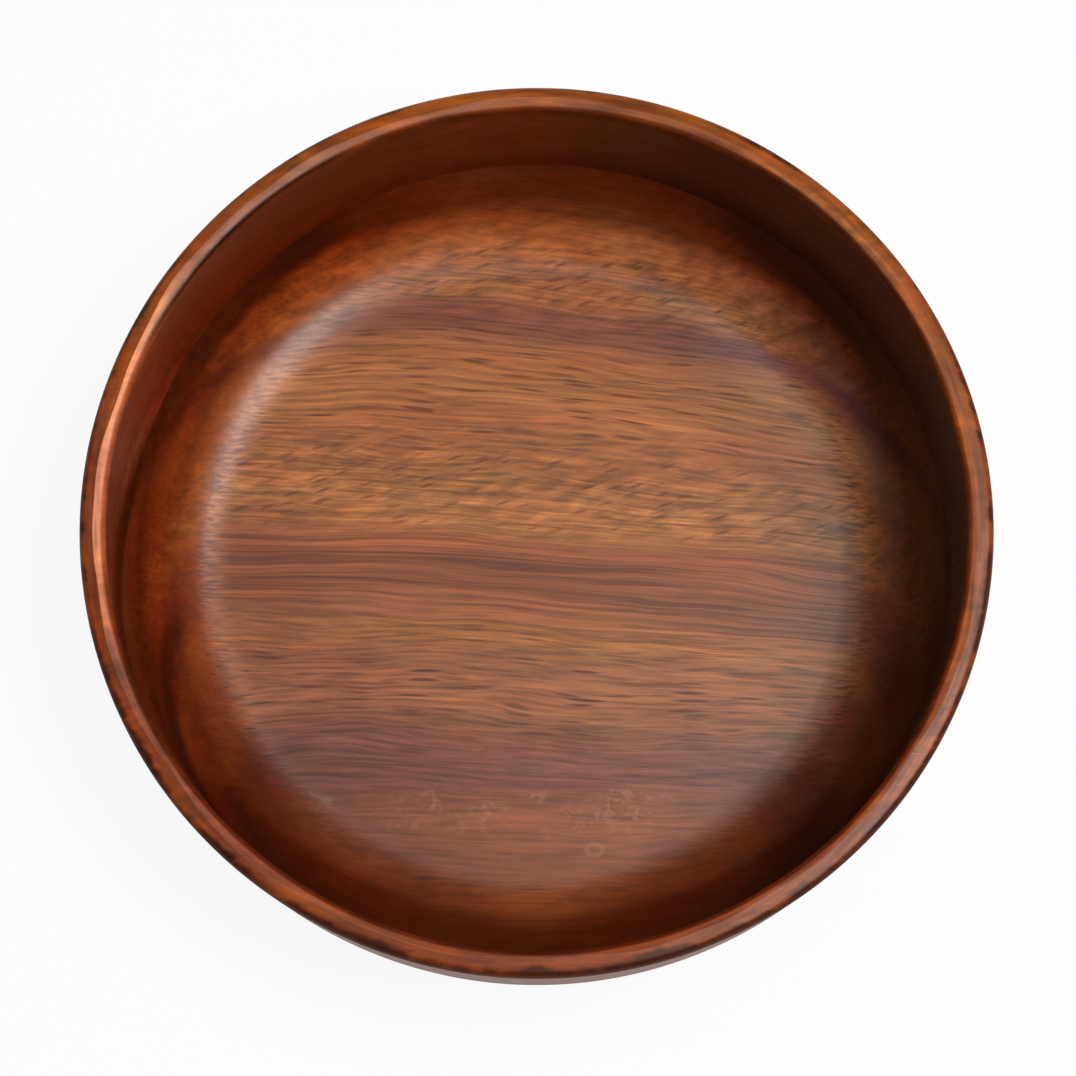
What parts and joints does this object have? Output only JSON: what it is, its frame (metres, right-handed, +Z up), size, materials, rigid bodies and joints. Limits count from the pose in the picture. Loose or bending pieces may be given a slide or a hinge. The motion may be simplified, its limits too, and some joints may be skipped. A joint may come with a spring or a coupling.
{
  "type": "wooden bowl",
  "caption": "Straight-sided round serving bowl, turned from edge-glued acacia boards, with a coved inside, a flat floor, a soft rim and a ring foot.",
  "frame": {"origin": "centre of the foot, on the surface that the bowl stands on", "axes": "+Z up along the axis on which the bowl was turned; the boards and their grain run along X; +Y is the rear, the far side in the picture"},
  "size_m": [0.254, 0.254, 0.076],
  "materials": {
    "acacia_umber": "oiled and lacquered, satin",
    "acacia_tan": "oiled and lacquered, satin",
    "acacia_red": "oiled and lacquered, satin",
    "acacia_amber": "oiled and lacquered, satin",
    "acacia_walnut": "oiled and lacquered, satin",
    "wood_glue": "cured glue line, turned flush"
  },
  "bodies": {
    "root": {"rear_edge_board": "acacia_umber", "rear_edge_glue_line": "wood_glue", "rear_board": "acacia_tan", "rear_glue_line": "wood_glue", "centre_board": "acacia_red", "front_glue_line": "wood_glue", "front_board": "acacia_amber", "front_edge_glue_line": "wood_glue", "front_edge_board": "acacia_walnut"}
  },
  "joints": []
}
